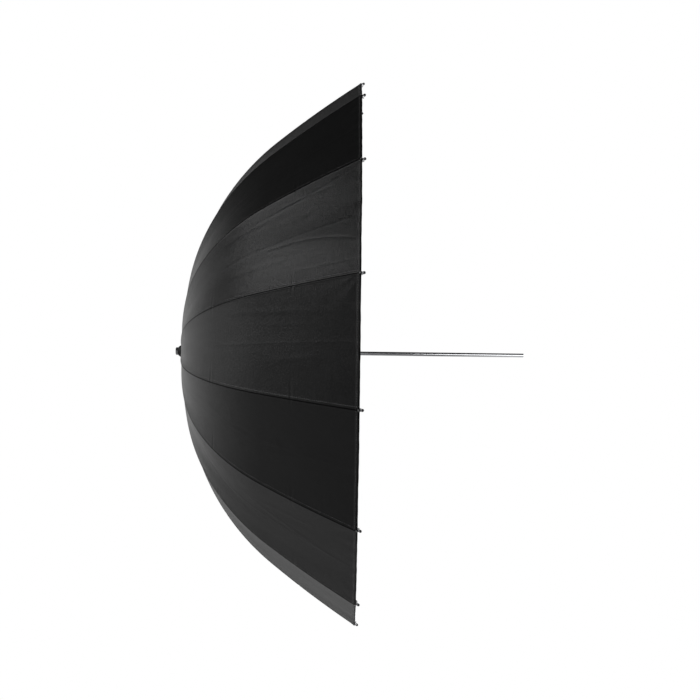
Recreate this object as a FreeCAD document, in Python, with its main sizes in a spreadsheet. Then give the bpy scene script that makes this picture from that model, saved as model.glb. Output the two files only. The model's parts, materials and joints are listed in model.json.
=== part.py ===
import FreeCAD, Part
import math
import os

# Deep white and black photographic umbrella, 16 ribs, open.
# Every piece is built in the crown frame: +X runs down the shaft from the middle of the crown,
# +Z is the radial direction of the piece's own rib. Each Placement then turns the piece about
# the shaft and moves the origin to the point of the shaft that the light's bracket grips.

doc = FreeCAD.newDocument("umbrella_reflector")
sheet = doc.addObject("Spreadsheet::Sheet", "Dimensions")

DRIVING = {
    # shaft
    "bracket_point": 468, "shaft_radius": 4, "shaft_wall": 0.8, "shaft_start": 1.6,
    "shaft_stop": 703, "groove_start": 291, "groove_width": 1.2, "groove_depth": 0.35,
    "end_cap_radius": 4, "end_cap_length": 9, "end_plug_length": 10, "end_cap_round": 1.2,
    # canopy seam line: three tangent arcs, angles counted from the radial direction
    "seam_inner_radius": 850, "seam_middle_radius": 482, "seam_outer_radius": 2090,
    "angle_crown": 3, "angle_inner": 15, "angle_middle": 52, "angle_rim": 57.64,
    "rib_count": 16, "cover_thick": 0.4, "ply_gap": 0.05, "lining_thick": 0.35, "eyelet_radius": 3,
    # ribs and their fittings
    "rib_radius": 1.75, "rib_depth": 4.2, "rib_outer_radius": 2200, "rib_outer_turn": 5.35,
    "rod_start_angle": 4.3, "root_sleeve_start": 4.17, "root_sleeve_stop": 5.1,
    "root_sleeve_radius": 2.25, "tang_thick": 1.6, "eye_radius": 2.2, "eye_hole_radius": 1,
    "collar_radius": 2.75, "collar_half_turn": 0.85, "ear_thick": 1.4, "ear_radius": 2.9,
    "tip_start_turn": 5.266, "tip_radius": 2.45, "tip_length": 6.2, "tip_bore_depth": 3.6,
    # crown
    "ring_radius": 11, "ring_wire_radius": 0.8, "channel_radius": 0.86, "hinge_depth": 6.5,
    "hub_radius": 13.5, "hub_start": 2.2, "hub_stop": 10.8, "boss_radius": 8, "boss_stop": 21,
    "slot_width": 2, "slot_root": 8.2, "stud_radius": 2.5, "stud_start": -13.2, "stud_stop": 27,
    "rosette_radius": 15.5, "rosette_top_radius": 9.4, "rosette_height": 9.5, "rosette_round": 2.6,
    "nut_radius": 8, "nut_height": 5.6, "nut_chamfer": 0.9, "flute_count": 24, "flute_radius": 0.45,
    # stretchers and the rib joint they work on
    "joint_angle": 36, "joint_drop": 6, "joint_side": 4.4, "stretcher_length": 330,
    "stretcher_radius": 1.2, "stretcher_eye_radius": 2.3, "stretcher_eye_thick": 1.4,
    "flat_length": 9, "flat_height": 3, "flat_lap": 1.5, "rivet_radius": 0.95, "rivet_head_radius": 1.9,
    "rivet_head_height": 0.7, "fold_angle": 55,
    # runner and catch
    "runner_bore": 4.1, "runner_radius": 8, "runner_length": 52, "flange_radius": 13.5,
    "flange_half": 4.2, "grip_radius": 8.9, "grip_width": 2.4, "grip_pitch": 6, "grip_first": 18,
    "keyway_width": 2.8, "keyway_top": 6.7, "catch_gap": 0.8, "catch_width": 1.8,
    "catch_length": 8, "catch_top": 6.2, "catch_shoulder": 4.6, "leaf_top": 2.5,
    "leaf_thick": 0.7, "leaf_length": 16, "catch_slot_width": 2.4, "catch_slot_gap": 0.5,
}
for row, (alias, value) in enumerate(DRIVING.items(), start=1):
    sheet.set("A%d" % row, alias)
    sheet.set("B%d" % row, str(value))
    sheet.setAlias("B%d" % row, alias)
doc.recompute()


def size(alias):
    """A driving dimension, read back from the sheet."""
    return float(sheet.get(alias))


def dim(alias):
    """The same dimension, as an expression."""
    return "Dimensions." + alias


def sheet_value(expression):
    """The value of an expression made of sheet names and numbers."""
    return float(sheet.evalExpression(expression))


X_AXIS = FreeCAD.Vector(1, 0, 0)
Y_AXIS = FreeCAD.Vector(0, 1, 0)
Z_AXIS = FreeCAD.Vector(0, 0, 1)
ALONG_SHAFT = FreeCAD.Rotation(Y_AXIS, 90)
ACROSS = FreeCAD.Rotation(X_AXIS, -90)
RIBS = int(size("rib_count"))
PITCH = 360.0 / RIBS
CROWN_TO_ORIGIN = FreeCAD.Vector(-size("bracket_point"), 0, 0)
nodes = []


# ---------------------------------------------------------------- small makers

def make(kind, name, sizes):
    """One primitive whose sizes follow the sheet."""
    shape = doc.addObject(kind, name)
    for prop, expression in sizes.items():
        shape.setExpression(prop, expression)
    return shape


def round_bar(name, radius, start, stop):
    """A cylinder on the shaft's axis from start to stop, all three given as expressions."""
    bar = make("Part::Cylinder", name, {"Radius": radius, "Height": "(%s) - (%s)" % (stop, start)})
    bar.Placement = FreeCAD.Placement(FreeCAD.Vector(), ALONG_SHAFT)
    bar.setExpression("Placement.Base.x", start)
    return bar


def cross_disc(name, radius, thick, centre):
    """A disc whose axis runs sideways through centre, which is its middle."""
    disc = make("Part::Cylinder", name, {"Radius": radius, "Height": thick})
    half = FreeCAD.Vector(0, 0.5, 0)
    doc.recompute([disc])
    disc.Placement = FreeCAD.Placement(centre - half * disc.Height.Value, ACROSS)
    return disc


def bar_between(name, start, stop, height, thick):
    """A flat bar with its middle line from start to stop, thick being its width sideways."""
    run = stop - start
    bar = make("Part::Box", name, {"Width": thick, "Height": height})
    bar.Length = run.Length
    doc.recompute([bar])
    turn = FreeCAD.Rotation(Y_AXIS, -math.degrees(math.atan2(run.z, run.x)))
    middle = FreeCAD.Vector(0, bar.Width.Value / 2, bar.Height.Value / 2)
    bar.Placement = FreeCAD.Placement(start - turn.multVec(middle), turn)
    return bar


def fuse(name, parts):
    joined = doc.addObject("Part::MultiFuse", name)
    joined.Shapes = parts
    return joined


def cut(name, base, tool):
    rest = doc.addObject("Part::Cut", name)
    rest.Base = base
    rest.Tool = tool
    return rest


def group(name, parts):
    """Separate solids that belong to one node."""
    together = doc.addObject("Part::Compound", name)
    together.Links = parts
    return together


def node(shape, label, turn=0.0):
    """Names a finished sub-part and puts it in its place, turned about the shaft."""
    shape.Label = label
    shape.Placement = FreeCAD.Placement(CROWN_TO_ORIGIN, FreeCAD.Rotation(X_AXIS, turn))
    nodes.append(shape)
    return shape


# ---------------------------------------------------------------- the canopy's and ribs' line

def inward(angle):
    """The direction into the bowl, square to the line where it makes angle with the radial."""
    turn = math.radians(angle)
    return FreeCAD.Vector(math.cos(turn), 0, -math.sin(turn))


def along(angle):
    """The direction of the line towards the rim."""
    turn = math.radians(angle)
    return FreeCAD.Vector(math.sin(turn), 0, math.cos(turn))


def arc_centres():
    """Centres of the three tangent arcs of the seam line."""
    inner = inward(size("angle_crown")) * size("seam_inner_radius")
    step = size("seam_middle_radius") - size("seam_inner_radius")
    middle = inner + inward(size("angle_inner")) * step
    step = size("seam_outer_radius") - size("seam_middle_radius")
    outer = middle + inward(size("angle_middle")) * step
    return inner, middle, outer


CENTRE_INNER, CENTRE_MIDDLE, CENTRE_OUTER = arc_centres()
RIB_CENTRE_OUTER = CENTRE_MIDDLE + inward(size("angle_middle")) * (
    size("rib_outer_radius") - size("seam_middle_radius") + size("rib_depth"))


def rib_point(angle):
    """A point of the rib's centre line on its middle arc."""
    return CENTRE_MIDDLE - inward(angle) * (size("seam_middle_radius") - size("rib_depth"))


def outer_rib_point(turn):
    """A point of the rib's centre line on its outer arc, turn being counted from its start."""
    return RIB_CENTRE_OUTER - inward(size("angle_middle") + turn) * size("rib_outer_radius")


def bent_bar(name, centre, line_radius, radius, start, stop):
    """A round bar along an arc. All but centre are expressions, start and stop in degrees."""
    bar = make("Part::Torus", name, {
        "Radius1": line_radius, "Radius2": radius, "Angle3": "(%s) - (%s)" % (stop, start)})
    doc.recompute([bar])
    first = sheet_value(start)
    axes = FreeCAD.Rotation(-inward(first), along(first), Y_AXIS, "ZXY")
    bar.Placement = FreeCAD.Placement(centre, axes)
    return bar


INNER_LINE = "%s - %s" % (dim("seam_inner_radius"), dim("rib_depth"))
MIDDLE_LINE = "%s - %s" % (dim("seam_middle_radius"), dim("rib_depth"))


# ---------------------------------------------------------------- the linkage

HINGE = FreeCAD.Vector(size("hinge_depth"), 0, size("ring_radius"))
JOINT = rib_point(size("joint_angle")) + inward(size("joint_angle")) * size("joint_drop")


def runner_pivot(joint):
    """Where the runner's hinge ring stands when the rib's joint is at joint."""
    rise = joint.z - size("ring_radius")
    reach = math.sqrt(size("stretcher_length") ** 2 - rise ** 2)
    return FreeCAD.Vector(joint.x + reach, 0, size("ring_radius"))


def folded(point):
    """Where a point of the rib goes when the rib folds down."""
    turn = FreeCAD.Rotation(Y_AXIS, size("fold_angle"))
    return HINGE + turn.multVec(point - HINGE)


def slope(joint, pivot):
    """The stretcher's angle to the shaft, in degrees."""
    return math.degrees(math.atan2(joint.z - pivot.z, pivot.x - joint.x))


PIVOT = runner_pivot(JOINT)
PIVOT_CLOSED = runner_pivot(folded(JOINT))
TRAVEL = PIVOT_CLOSED.x - PIVOT.x
STRETCHER_TURN = slope(JOINT, PIVOT) - slope(folded(JOINT), PIVOT_CLOSED)


# ---------------------------------------------------------------- shaft

def shaft():
    """Polished steel tube, with a rolled groove behind the catch and a slot for its nose."""
    outside = round_bar("ShaftOutside", dim("shaft_radius"), dim("shaft_start"), dim("shaft_stop"))
    inner = "%s - %s" % (dim("shaft_radius"), dim("shaft_wall"))
    inside = round_bar("ShaftInside", inner, dim("shaft_start") + " - 1", dim("shaft_stop") + " + 1")
    groove_stop = "%s + %s" % (dim("groove_start"), dim("groove_width"))
    band = round_bar("GrooveBand", dim("shaft_radius") + " + 1", dim("groove_start"), groove_stop)
    floor = "%s - %s" % (dim("shaft_radius"), dim("groove_depth"))
    core = round_bar("GrooveCore", floor, dim("groove_start") + " - 1", groove_stop + " + 1")
    groove = cut("Groove", band, core)
    slot = make("Part::Box", "CatchSlot", {
        "Length": "%s + 2 * %s" % (dim("catch_length"), dim("catch_slot_gap")),
        "Width": dim("catch_slot_width"), "Height": dim("shaft_radius")})
    slot.setExpression("Placement.Base.y", "-%s / 2" % dim("catch_slot_width"))
    slot.Placement.Base.x = CATCH_START - size("catch_slot_gap")
    slot.Placement.Base.z = 1
    tools = fuse("ShaftTools", [inside, groove, slot])
    node(cut("ShaftTube", outside, tools), "shaft_tube")


def end_cap():
    """Turned plug pressed into the shaft's free end, its rim rounded."""
    stop = "%s + %s" % (dim("shaft_stop"), dim("end_cap_length"))
    head = round_bar("EndHead", dim("end_cap_radius"), dim("shaft_stop"), stop)
    plug_radius = "%s - %s" % (dim("shaft_radius"), dim("shaft_wall"))
    plug_start = "%s - %s" % (dim("shaft_stop"), dim("end_plug_length"))
    plug = round_bar("EndPlug", plug_radius, plug_start, dim("shaft_stop"))
    rounded = doc.addObject("Part::Fillet", "EndRound")
    rounded.Base = head
    doc.recompute()
    radius = size("end_cap_round")
    rounded.Edges = [(edge, radius, radius) for edge in rim_edges(head, size("shaft_stop") + 1)]
    node(fuse("EndCap", [rounded, plug]), "shaft_end_cap")


def rim_edges(shape, beyond):
    """Numbers of the round edges that lie past a place along the shaft."""
    found = []
    for number, edge in enumerate(shape.Shape.Edges, start=1):
        box = edge.BoundBox
        if box.XLength < 0.01 and box.XMin > beyond:
            found.append(number)
    return found


# ---------------------------------------------------------------- crown and runner rings

def slot_ring(name, centre_x, half_height):
    """Sixteen radial slots for hinge eyes and the channel of the wire that they turn on."""
    tools = []
    for number in range(RIBS):
        slot = make("Part::Box", "%sSlot%02d" % (name, number + 1), {
            "Length": "2 * (%s) + 4" % half_height, "Width": dim("slot_width"),
            "Height": dim("hub_radius")})
        turn = FreeCAD.Rotation(X_AXIS, PITCH * (number + 0.5))
        corner = FreeCAD.Vector(
            centre_x - 2 - sheet_value(half_height), -size("slot_width") / 2, size("slot_root"))
        slot.Placement = FreeCAD.Placement(turn.multVec(corner), turn)
        tools.append(slot)
    channel = make("Part::Torus", name + "Channel", {
        "Radius1": dim("ring_radius"), "Radius2": dim("channel_radius")})
    channel.Placement = FreeCAD.Placement(FreeCAD.Vector(centre_x, 0, 0), ALONG_SHAFT)
    tools.append(channel)
    return fuse(name + "Slots", tools)


def hinge_wire(name, label, centre_x):
    """The wire ring that all sixteen eyes turn on."""
    wire = make("Part::Torus", name, {
        "Radius1": dim("ring_radius"), "Radius2": dim("ring_wire_radius")})
    wire.Placement = FreeCAD.Placement(FreeCAD.Vector(centre_x, 0, 0), ALONG_SHAFT)
    node(group(name + "Node", [wire]), label)


def crown_hub():
    """Notched crown, fixed on the shaft."""
    disc = round_bar("HubDisc", dim("hub_radius"), dim("hub_start"), dim("hub_stop"))
    boss = round_bar("HubBoss", dim("boss_radius"), dim("hub_start"), dim("boss_stop"))
    bore = round_bar("HubBore", dim("shaft_radius"), "0", dim("boss_stop") + " + 1")
    slots = slot_ring("Hub", size("hinge_depth"), "(%s - %s) / 2" % (dim("hub_stop"), dim("hub_start")))
    hub = cut("CrownHub", fuse("HubBlank", [disc, boss]), fuse("HubTools", [bore, slots]))
    node(hub, "crown_hub")
    hinge_wire("CrownWire", "crown_ring", size("hinge_depth"))


def crown_stack():
    """Stud in the shaft's end, the black rosette over the cover, and the chrome nut."""
    thread = round_bar("StudThread", dim("stud_radius"), dim("stud_start"), dim("stud_stop"))
    plug_radius = "%s - %s" % (dim("shaft_radius"), dim("shaft_wall"))
    plug = round_bar("StudPlug", plug_radius, dim("shaft_start"), dim("stud_stop"))
    node(fuse("CrownStud", [thread, plug]), "crown_stud")
    cone = make("Part::Cone", "RosetteCone", {
        "Radius1": dim("rosette_radius"), "Radius2": dim("rosette_top_radius"),
        "Height": dim("rosette_height")})
    cone.Placement = FreeCAD.Placement(FreeCAD.Vector(), FreeCAD.Rotation(Y_AXIS, -90))
    doc.recompute()
    rounded = doc.addObject("Part::Fillet", "RosetteRound")
    rounded.Base = cone
    radius = size("rosette_round")
    top = [number for number, edge in enumerate(cone.Shape.Edges, start=1)
           if edge.BoundBox.XMax < -size("rosette_height") / 2]
    rounded.Edges = [(number, radius, radius) for number in top]
    hole = round_bar("RosetteHole", dim("stud_radius"), dim("stud_start"), dim("shaft_start"))
    node(cut("Rosette", rounded, hole), "crown_rosette")
    node(ferrule_nut(), "ferrule_nut")


def ferrule_nut():
    """Round fluted nut with a blind hole for the stud."""
    base = "-" + dim("rosette_height")
    top = "-%s - %s" % (dim("rosette_height"), dim("nut_height"))
    blank = round_bar("NutBlank", dim("nut_radius"), top, base)
    doc.recompute()
    chamfer = doc.addObject("Part::Chamfer", "NutChamfer")
    chamfer.Base = blank
    width = size("nut_chamfer")
    edges = [number for number, edge in enumerate(blank.Shape.Edges, start=1)
             if edge.BoundBox.XLength < 0.01]
    chamfer.Edges = [(number, width, width) for number in edges]
    tools = [round_bar("NutHole", dim("stud_radius"), dim("stud_start"), base + " + 1")]
    flutes = int(size("flute_count"))
    for number in range(flutes):
        flute = round_bar("Flute%02d" % (number + 1), dim("flute_radius"), top + " - 1", base + " + 1")
        around = FreeCAD.Rotation(X_AXIS, 360.0 / flutes * number)
        place = around.multVec(FreeCAD.Vector(0, 0, size("nut_radius")))
        flute.Placement.Base.y = place.y
        flute.Placement.Base.z = place.z
        tools.append(flute)
    return cut("FerruleNut", chamfer, fuse("NutTools", tools))


# ---------------------------------------------------------------- runner and catch

RUNNER_START = PIVOT.x - size("flange_half")
RUNNER_STOP = RUNNER_START + size("runner_length")
CATCH_START = RUNNER_STOP + size("catch_gap")


def runner():
    """Sliding sleeve with the notched flange of the stretchers and a ribbed grip."""
    start = "%.6f" % RUNNER_START
    stop = "%s + %s" % (start, dim("runner_length"))
    flange_stop = "%s + 2 * %s" % (start, dim("flange_half"))
    solids = [round_bar("RunnerTube", dim("runner_radius"), start, stop),
              round_bar("RunnerFlange", dim("flange_radius"), start, flange_stop)]
    for number in range(5):
        grip_start = "%s + %s + %d * %s" % (start, dim("grip_first"), number, dim("grip_pitch"))
        grip_stop = "%s + %s" % (grip_start, dim("grip_width"))
        solids.append(round_bar("Grip%d" % number, dim("grip_radius"), grip_start, grip_stop))
    bore = round_bar("RunnerBore", dim("runner_bore"), start + " - 1", stop + " + 1")
    keyway = make("Part::Box", "Keyway", {
        "Length": dim("runner_length") + " + 2", "Width": dim("keyway_width"),
        "Height": dim("keyway_top")})
    keyway.Placement.Base = FreeCAD.Vector(RUNNER_START - 1, -size("keyway_width") / 2, 0)
    slots = slot_ring("Runner", PIVOT.x, dim("flange_half"))
    tools = fuse("RunnerTools", [bore, keyway, slots])
    node(cut("RunnerSleeve", fuse("RunnerBlank", solids), tools), "runner_sleeve")
    hinge_wire("RunnerWire", "runner_ring", PIVOT.x)


def spring_catch():
    """Bent leaf inside the shaft whose nose stands out of the slot behind the runner."""
    start = CATCH_START
    stop = start + size("catch_length")
    leaf_floor = size("leaf_top") - size("leaf_thick")
    outline = [
        (start, leaf_floor), (start, size("catch_top")), (start + 1.6, size("catch_top")),
        (stop, size("catch_shoulder") - 1), (stop, size("leaf_top")),
        (stop + size("leaf_length"), size("leaf_top")), (stop + size("leaf_length"), leaf_floor)]
    wire = Part.makePolygon([FreeCAD.Vector(x, -size("catch_width") / 2, z)
                             for x, z in outline + outline[:1]])
    catch = doc.addObject("Part::Feature", "SpringCatch")
    catch.Shape = Part.Face(wire).extrude(Y_AXIS * size("catch_width"))
    node(catch, "spring_catch")


# ---------------------------------------------------------------- ribs

def rod(name, radius, stop_turn):
    """The rib's rod: three bent bars end to end along the seam line."""
    outer_stop = "%s + %s" % (dim("angle_middle"), stop_turn)
    return fuse(name, [
        bent_bar(name + "A", CENTRE_INNER, INNER_LINE, radius, dim("rod_start_angle"), dim("angle_inner")),
        bent_bar(name + "B", CENTRE_MIDDLE, MIDDLE_LINE, radius, dim("angle_inner"), dim("angle_middle")),
        bent_bar(name + "C", RIB_CENTRE_OUTER, dim("rib_outer_radius"), radius,
                 dim("angle_middle"), outer_stop)])


def root_fitting(name):
    """Crimped sleeve with a flat tang and the eye that turns on the crown's wire."""
    sleeve = bent_bar(name + "Sleeve", CENTRE_INNER, INNER_LINE, dim("root_sleeve_radius"),
                      dim("root_sleeve_start"), dim("root_sleeve_stop"))
    bore = bent_bar(name + "Bore", CENTRE_INNER, INNER_LINE, dim("rib_radius"),
                    dim("rod_start_angle"), dim("root_sleeve_stop") + " + 0.1")
    line_radius = size("seam_inner_radius") - size("rib_depth")
    sleeve_start = CENTRE_INNER - inward(size("root_sleeve_start")) * line_radius
    tang = bar_between(name + "Tang", HINGE, sleeve_start, "2 * %s - 1" % dim("eye_radius"),
                       dim("tang_thick"))
    eye = cross_disc(name + "Eye", dim("eye_radius"), dim("tang_thick"), HINGE)
    hole = cross_disc(name + "Hole", dim("eye_hole_radius"), dim("tang_thick") + " + 2", HINGE)
    return cut(name, fuse(name + "Blank", [sleeve, tang, eye]), fuse(name + "Tools", [bore, hole]))


def joint_fitting(name):
    """Collar round the rod with one ear, beside which the stretcher's end turns."""
    half = dim("collar_half_turn")
    start = "%s - %s" % (dim("joint_angle"), half)
    stop = "%s + %s" % (dim("joint_angle"), half)
    collar = bent_bar(name + "Collar", CENTRE_MIDDLE, MIDDLE_LINE, dim("collar_radius"), start, stop)
    bore = bent_bar(name + "Bore", CENTRE_MIDDLE, MIDDLE_LINE, dim("rib_radius"),
                    start + " - 0.2", stop + " + 0.2")
    side = FreeCAD.Vector(0, size("collar_radius") - size("ear_thick") / 2, 0)
    ear_end = JOINT + side
    ear_root = rib_point(size("joint_angle")) + side
    web = bar_between(name + "Web", ear_root, ear_end, "2 * %s" % dim("ear_radius"), dim("ear_thick"))
    ear = cross_disc(name + "Ear", dim("ear_radius"), dim("ear_thick"), ear_end)
    hole = cross_disc(name + "Hole", dim("rivet_radius"), dim("ear_thick") + " + 2", ear_end)
    return cut(name, fuse(name + "Blank", [collar, web, ear]), fuse(name + "Tools", [bore, hole]))


def tip_fitting(name):
    """Bullet-shaped metal tip on the rod's end, just past the canopy's corner."""
    turn = size("tip_start_turn")
    direction = along(size("angle_middle") + turn)
    start = outer_rib_point(turn)
    axes = FreeCAD.Rotation(Z_AXIS, direction)
    barrel = make("Part::Cylinder", name + "Barrel", {
        "Radius": dim("tip_radius"), "Height": dim("tip_length")})
    barrel.Placement = FreeCAD.Placement(start, axes)
    nose = make("Part::Sphere", name + "Nose", {"Radius": dim("tip_radius")})
    nose.Placement = FreeCAD.Placement(start + direction * size("tip_length"), axes)
    stop_turn = "%s + %s" % (dim("angle_middle"), dim("rib_outer_turn"))
    bore = bent_bar(name + "Bore", RIB_CENTRE_OUTER, dim("rib_outer_radius"), dim("rib_radius"),
                    dim("angle_middle") + " + 4", stop_turn)
    return cut(name, fuse(name + "Blank", [barrel, nose]), bore)


def rib(number, turn):
    """One glass-fibre rod and the three metal fittings on it."""
    name = "Rib%02d" % number
    node(rod(name + "Rod", dim("rib_radius"), dim("rib_outer_turn")), "rib_%02d" % number, turn)
    fittings = group(name + "Fittings", [
        root_fitting(name + "Root"), joint_fitting(name + "Joint"), tip_fitting(name + "Tip")])
    node(fittings, "rib_fittings_%02d" % number, turn)


# ---------------------------------------------------------------- stretchers

def stretcher(number, turn):
    """Steel rod with a flat eye at each end, and the rivet that hangs it beside the rib's ear."""
    name = "Stretcher%02d" % number
    far = JOINT + FreeCAD.Vector(0, size("joint_side"), 0)
    run = far - PIVOT
    ahead = FreeCAD.Vector(run).normalize()
    flat = size("flat_length")
    bar_height = "%.6f - 2 * (%s - %s)" % (run.Length, dim("flat_length"), dim("flat_lap"))
    bar = make("Part::Cylinder", name + "Bar", {
        "Radius": dim("stretcher_radius"), "Height": bar_height})
    bar_start = PIVOT + ahead * (flat - size("flat_lap"))
    bar.Placement = FreeCAD.Placement(bar_start, FreeCAD.Rotation(Z_AXIS, ahead))
    solids = [bar]
    thick = dim("stretcher_eye_thick")
    for end, centre, way in (("Near", PIVOT, 1), ("Far", far, -1)):
        inner = centre + FreeCAD.Vector(ahead.x, 0, ahead.z) * (flat * way)
        solids.append(bar_between(name + end + "Flat", centre, inner, dim("flat_height"), thick))
        solids.append(cross_disc(name + end + "Eye", dim("stretcher_eye_radius"), thick, centre))
    holes = [
        cross_disc(name + "NearHole", dim("eye_hole_radius"), thick + " + 2", PIVOT),
        cross_disc(name + "FarHole", dim("rivet_radius"), thick + " + 2", far)]
    link = cut(name + "Link", fuse(name + "Blank", solids), fuse(name + "Holes", holes))
    node(group(name + "Node", [link, rivet(name, far)]), "stretcher_%02d" % number, turn)


def rivet(name, centre):
    """Rivet in the stretcher's far eye, its domed head on the outside."""
    thick = dim("stretcher_eye_thick")
    shank = cross_disc(name + "Shank", dim("rivet_radius"), thick, centre)
    head_centre = centre + Y_AXIS * ((size("stretcher_eye_thick") + size("rivet_head_height")) / 2)
    head = cross_disc(name + "Head", dim("rivet_head_radius"), dim("rivet_head_height"), head_centre)
    return fuse(name + "Rivet", [shank, head])


# ---------------------------------------------------------------- canopy

def panel_edge(depth):
    """The middle line of a flat gore, depth inside the cover's outer face, as three arcs."""
    narrow = math.cos(math.radians(PITCH / 2))
    first = math.degrees(math.asin(
        (size("eyelet_radius") - CENTRE_INNER.z) / size("seam_inner_radius")))
    spans = [
        (CENTRE_INNER, size("seam_inner_radius"), first, size("angle_inner")),
        (CENTRE_MIDDLE, size("seam_middle_radius"), size("angle_inner"), size("angle_middle")),
        (CENTRE_OUTER, size("seam_outer_radius"), size("angle_middle"), size("angle_rim"))]
    edges = []
    for centre, radius, start, stop in spans:
        points = []
        for angle in (start, (start + stop) / 2, stop):
            point = centre - inward(angle) * (radius - depth)
            points.append(FreeCAD.Vector(point.x, 0, point.z * narrow))
        edges.append(Part.Arc(*points).toShape())
    return edges


def gore(outer_depth, inner_depth):
    """One flat gore: the band between two depths, cut to its sixteenth of the turn."""
    outer = panel_edge(outer_depth)
    inner = panel_edge(inner_depth)
    crown = Part.makeLine(outer[0].firstVertex().Point, inner[0].firstVertex().Point)
    rim = Part.makeLine(outer[-1].lastVertex().Point, inner[-1].lastVertex().Point)
    section = Part.Face(Part.Wire(Part.__sortEdges__(outer + inner + [crown, rim])))
    reach = 1.5 * outer[-1].lastVertex().Point.z
    half_width = reach * math.tan(math.radians(PITCH / 2))
    slab = section.copy()
    slab.translate(Y_AXIS * -half_width)
    slab = slab.extrude(Y_AXIS * (2 * half_width))
    start = FreeCAD.Vector(-size("rosette_height"), 0, 0)
    corners = [start, start + FreeCAD.Vector(0, half_width, reach),
               start + FreeCAD.Vector(0, -half_width, reach), start]
    wedge = Part.Face(Part.makePolygon(corners)).extrude(X_AXIS * size("bracket_point"))
    return slab.common(wedge).Solids[0]


def canopy(name, label, outer_depth, inner_depth):
    """Sixteen gores sewn edge to edge, each one a solid of the same node."""
    pattern = gore(outer_depth, inner_depth)
    gores = []
    for number in range(RIBS):
        piece = pattern.copy()
        piece.rotate(FreeCAD.Vector(), X_AXIS, PITCH * number)
        gores.append(piece)
    cloth = doc.addObject("Part::Feature", name)
    cloth.Shape = Part.makeCompound(gores)
    node(cloth, label)


# ---------------------------------------------------------------- the whole umbrella

shaft()
end_cap()
crown_hub()
crown_stack()
runner()
spring_catch()
LINING_START = size("cover_thick") + size("ply_gap")
canopy("Cover", "canopy_cover", 0, size("cover_thick"))
canopy("Lining", "canopy_lining", LINING_START, LINING_START + size("lining_thick"))
for number in range(RIBS):
    rib(number + 1, PITCH * (number + 0.5))
    stretcher(number + 1, PITCH * (number + 0.5))
doc.recompute()

for thing in doc.Objects:
    if "Invalid" in thing.State or "Error" in thing.State:
        raise RuntimeError("failed: %s %s" % (thing.Name, thing.State))
for thing in nodes:
    if thing.Shape.isNull() or not thing.Shape.isValid():
        raise RuntimeError("bad shape: " + thing.Label)

os.makedirs("parts", exist_ok=True)
for thing in nodes:
    thing.Shape.exportStep("parts/%s.step" % thing.Label)

print("rib hinge %s, stretcher pivot %s, pivot closed %s" % (HINGE, PIVOT, PIVOT_CLOSED))
print("runner travel %.3f mm, stretcher turn %.3f degrees" % (TRAVEL, STRETCHER_TURN))
for thing in nodes:
    print("%-18s %2d solids, %9.1f mm3" % (thing.Label, len(thing.Shape.Solids), thing.Shape.Volume))
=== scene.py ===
import json
import math

import bpy
import numpy as np
from mathutils import Matrix, Vector


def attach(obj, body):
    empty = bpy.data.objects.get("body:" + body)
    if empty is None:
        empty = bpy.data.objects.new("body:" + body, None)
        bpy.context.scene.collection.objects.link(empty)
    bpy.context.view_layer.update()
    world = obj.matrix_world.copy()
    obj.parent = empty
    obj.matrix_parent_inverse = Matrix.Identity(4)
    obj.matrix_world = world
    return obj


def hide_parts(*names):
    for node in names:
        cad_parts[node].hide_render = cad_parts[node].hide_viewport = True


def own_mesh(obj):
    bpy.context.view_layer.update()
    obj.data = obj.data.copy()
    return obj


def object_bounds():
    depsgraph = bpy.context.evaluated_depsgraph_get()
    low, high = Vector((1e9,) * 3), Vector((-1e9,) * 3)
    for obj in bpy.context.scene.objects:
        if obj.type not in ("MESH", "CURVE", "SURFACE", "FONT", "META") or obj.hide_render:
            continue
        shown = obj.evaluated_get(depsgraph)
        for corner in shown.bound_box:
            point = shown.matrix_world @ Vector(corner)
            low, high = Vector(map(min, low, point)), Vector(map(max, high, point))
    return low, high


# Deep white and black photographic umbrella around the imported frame.
# Lengths are in metres. s runs along a seam from the crown to the rim, t across from the seam,
# and each rib carries its own band of cover and of lining, from mid gore to mid gore.

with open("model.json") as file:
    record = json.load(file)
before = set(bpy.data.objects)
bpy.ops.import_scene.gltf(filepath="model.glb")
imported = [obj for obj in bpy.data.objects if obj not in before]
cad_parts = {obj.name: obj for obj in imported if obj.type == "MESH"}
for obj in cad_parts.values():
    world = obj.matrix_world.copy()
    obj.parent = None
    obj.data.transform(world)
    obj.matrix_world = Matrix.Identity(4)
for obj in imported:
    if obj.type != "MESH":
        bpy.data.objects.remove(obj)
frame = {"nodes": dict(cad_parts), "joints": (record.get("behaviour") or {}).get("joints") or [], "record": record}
cad_low, cad_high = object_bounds()
record = frame["record"]
nodes = frame["nodes"]
joints = {joint["name"]: joint for joint in frame["joints"]}

MM = 0.001
RIBS = sum(name.startswith("rib_") and name.endswith("_fold") for name in joints)
HALF_GORE = math.pi / RIBS
X_AXIS = np.array((1.0, 0.0, 0.0))

# The seam line of the cover: tangent arcs, radius and the slopes they run between.
SEAM_ARCS = ((850 * MM, 3.0, 15.0), (482 * MM, 15.0, 52.0), (2090 * MM, 52.0, 57.64))
HINGE_DEPTH = 6.5 * MM
CROWN_X = joints["rib_01_fold"]["pos_m"][0] - HINGE_DEPTH
COVER_START = 5 * MM
COVER_SPLIT = 425 * MM
LINING_SPLIT = 401 * MM
COVER_THICK = 0.4 * MM
LINING_DEPTH = 0.45 * MM
LINING_THICK = 0.35 * MM
LINING_SLACK = 1.3 * MM
SCALLOP = 0.5 * MM
HEM_WIDTH = 7.5 * MM
TIES_AT = (355 * MM, 560 * MM)
RIB_DEPTH = 4.2 * MM
RIB_RADIUS = 1.75 * MM
TIP_RADIUS = 2.45 * MM
TIP_DEPTH = 4.75 * MM
STITCH_LENGTH = 2.1 * MM
STITCH_PITCH = 4.0 * MM
STITCH_WIDTH = 0.85 * MM
STITCH_RISE = 0.3 * MM
SEAM_STITCH_AT = -5.0 * MM
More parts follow.
